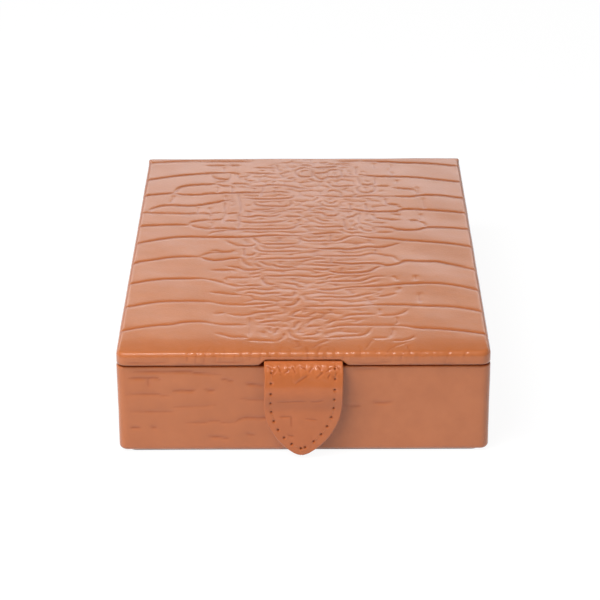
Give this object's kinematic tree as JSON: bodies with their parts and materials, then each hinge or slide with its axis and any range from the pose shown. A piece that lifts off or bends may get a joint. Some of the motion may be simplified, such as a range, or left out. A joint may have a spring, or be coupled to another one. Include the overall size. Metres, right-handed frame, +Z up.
{
  "type": "travel jewelry box",
  "caption": "Low leather-covered jewelry box with a hinged lid, stitched magnetic tab, lid mirror, padded ring rolls and lined compartments.",
  "frame": {"origin": "centre of the case's underside, at the level it rests on", "axes": "+Z up, -Y towards the front with the closing tab, +Y towards the hinge, +X to the right seen from the front"},
  "size_m": [0.128, 0.1904, 0.0393],
  "materials": {
    "leather": "satin",
    "board": "matte",
    "base_sheet": "matte",
    "foam": "matte",
    "suede": "matte",
    "mirror": "polished",
    "thread": "matte",
    "steel": "satin"
  },
  "bodies": {
    "case": {"case_leather": "leather", "front_board": "board", "back_board": "board", "left_board": "board", "right_board": "board", "base_board": "board", "base_infill": "board", "base_cover": "base_sheet", "floor_pad": "suede", "lining_front": "suede", "lining_back": "suede", "lining_left": "suede", "lining_right": "suede", "divider_cross": "suede", "divider_long": "suede", "divider_short": "suede", "ring_roll_1": "suede", "ring_roll_2": "suede", "ring_roll_3": "suede", "ring_roll_4": "suede", "closure_plate": "steel", "spine_leather": "leather", "inner_hinge": "suede"},
    "lid": {"lid_leather": "leather", "lid_board": "board", "lid_infill": "board", "lid_padding": "foam", "lid_lining": "suede", "mirror": "mirror", "tab_root": "leather", "tab_bend": "leather"},
    "tab": {"tab_leather": "leather", "tab_lining": "leather", "tab_stitches": "thread", "magnet_cup": "steel", "closure_magnet": "steel"}
  },
  "joints": [
    {"name": "lid_hinge", "type": "hinge", "parent": "case", "child": "lid", "pos_m": [0, 0.092, 0.03375], "axis": [-1, 0, 0], "range_deg": [0, 105], "deforming": ["spine_leather", "inner_hinge"]},
    {"name": "tab_flap", "type": "hinge", "parent": "lid", "child": "tab", "pos_m": [0, -0.0952, 0.0339], "axis": [-1, 0, 0], "range_deg": [0, 90], "deforming": ["tab_bend"]}
  ]
}
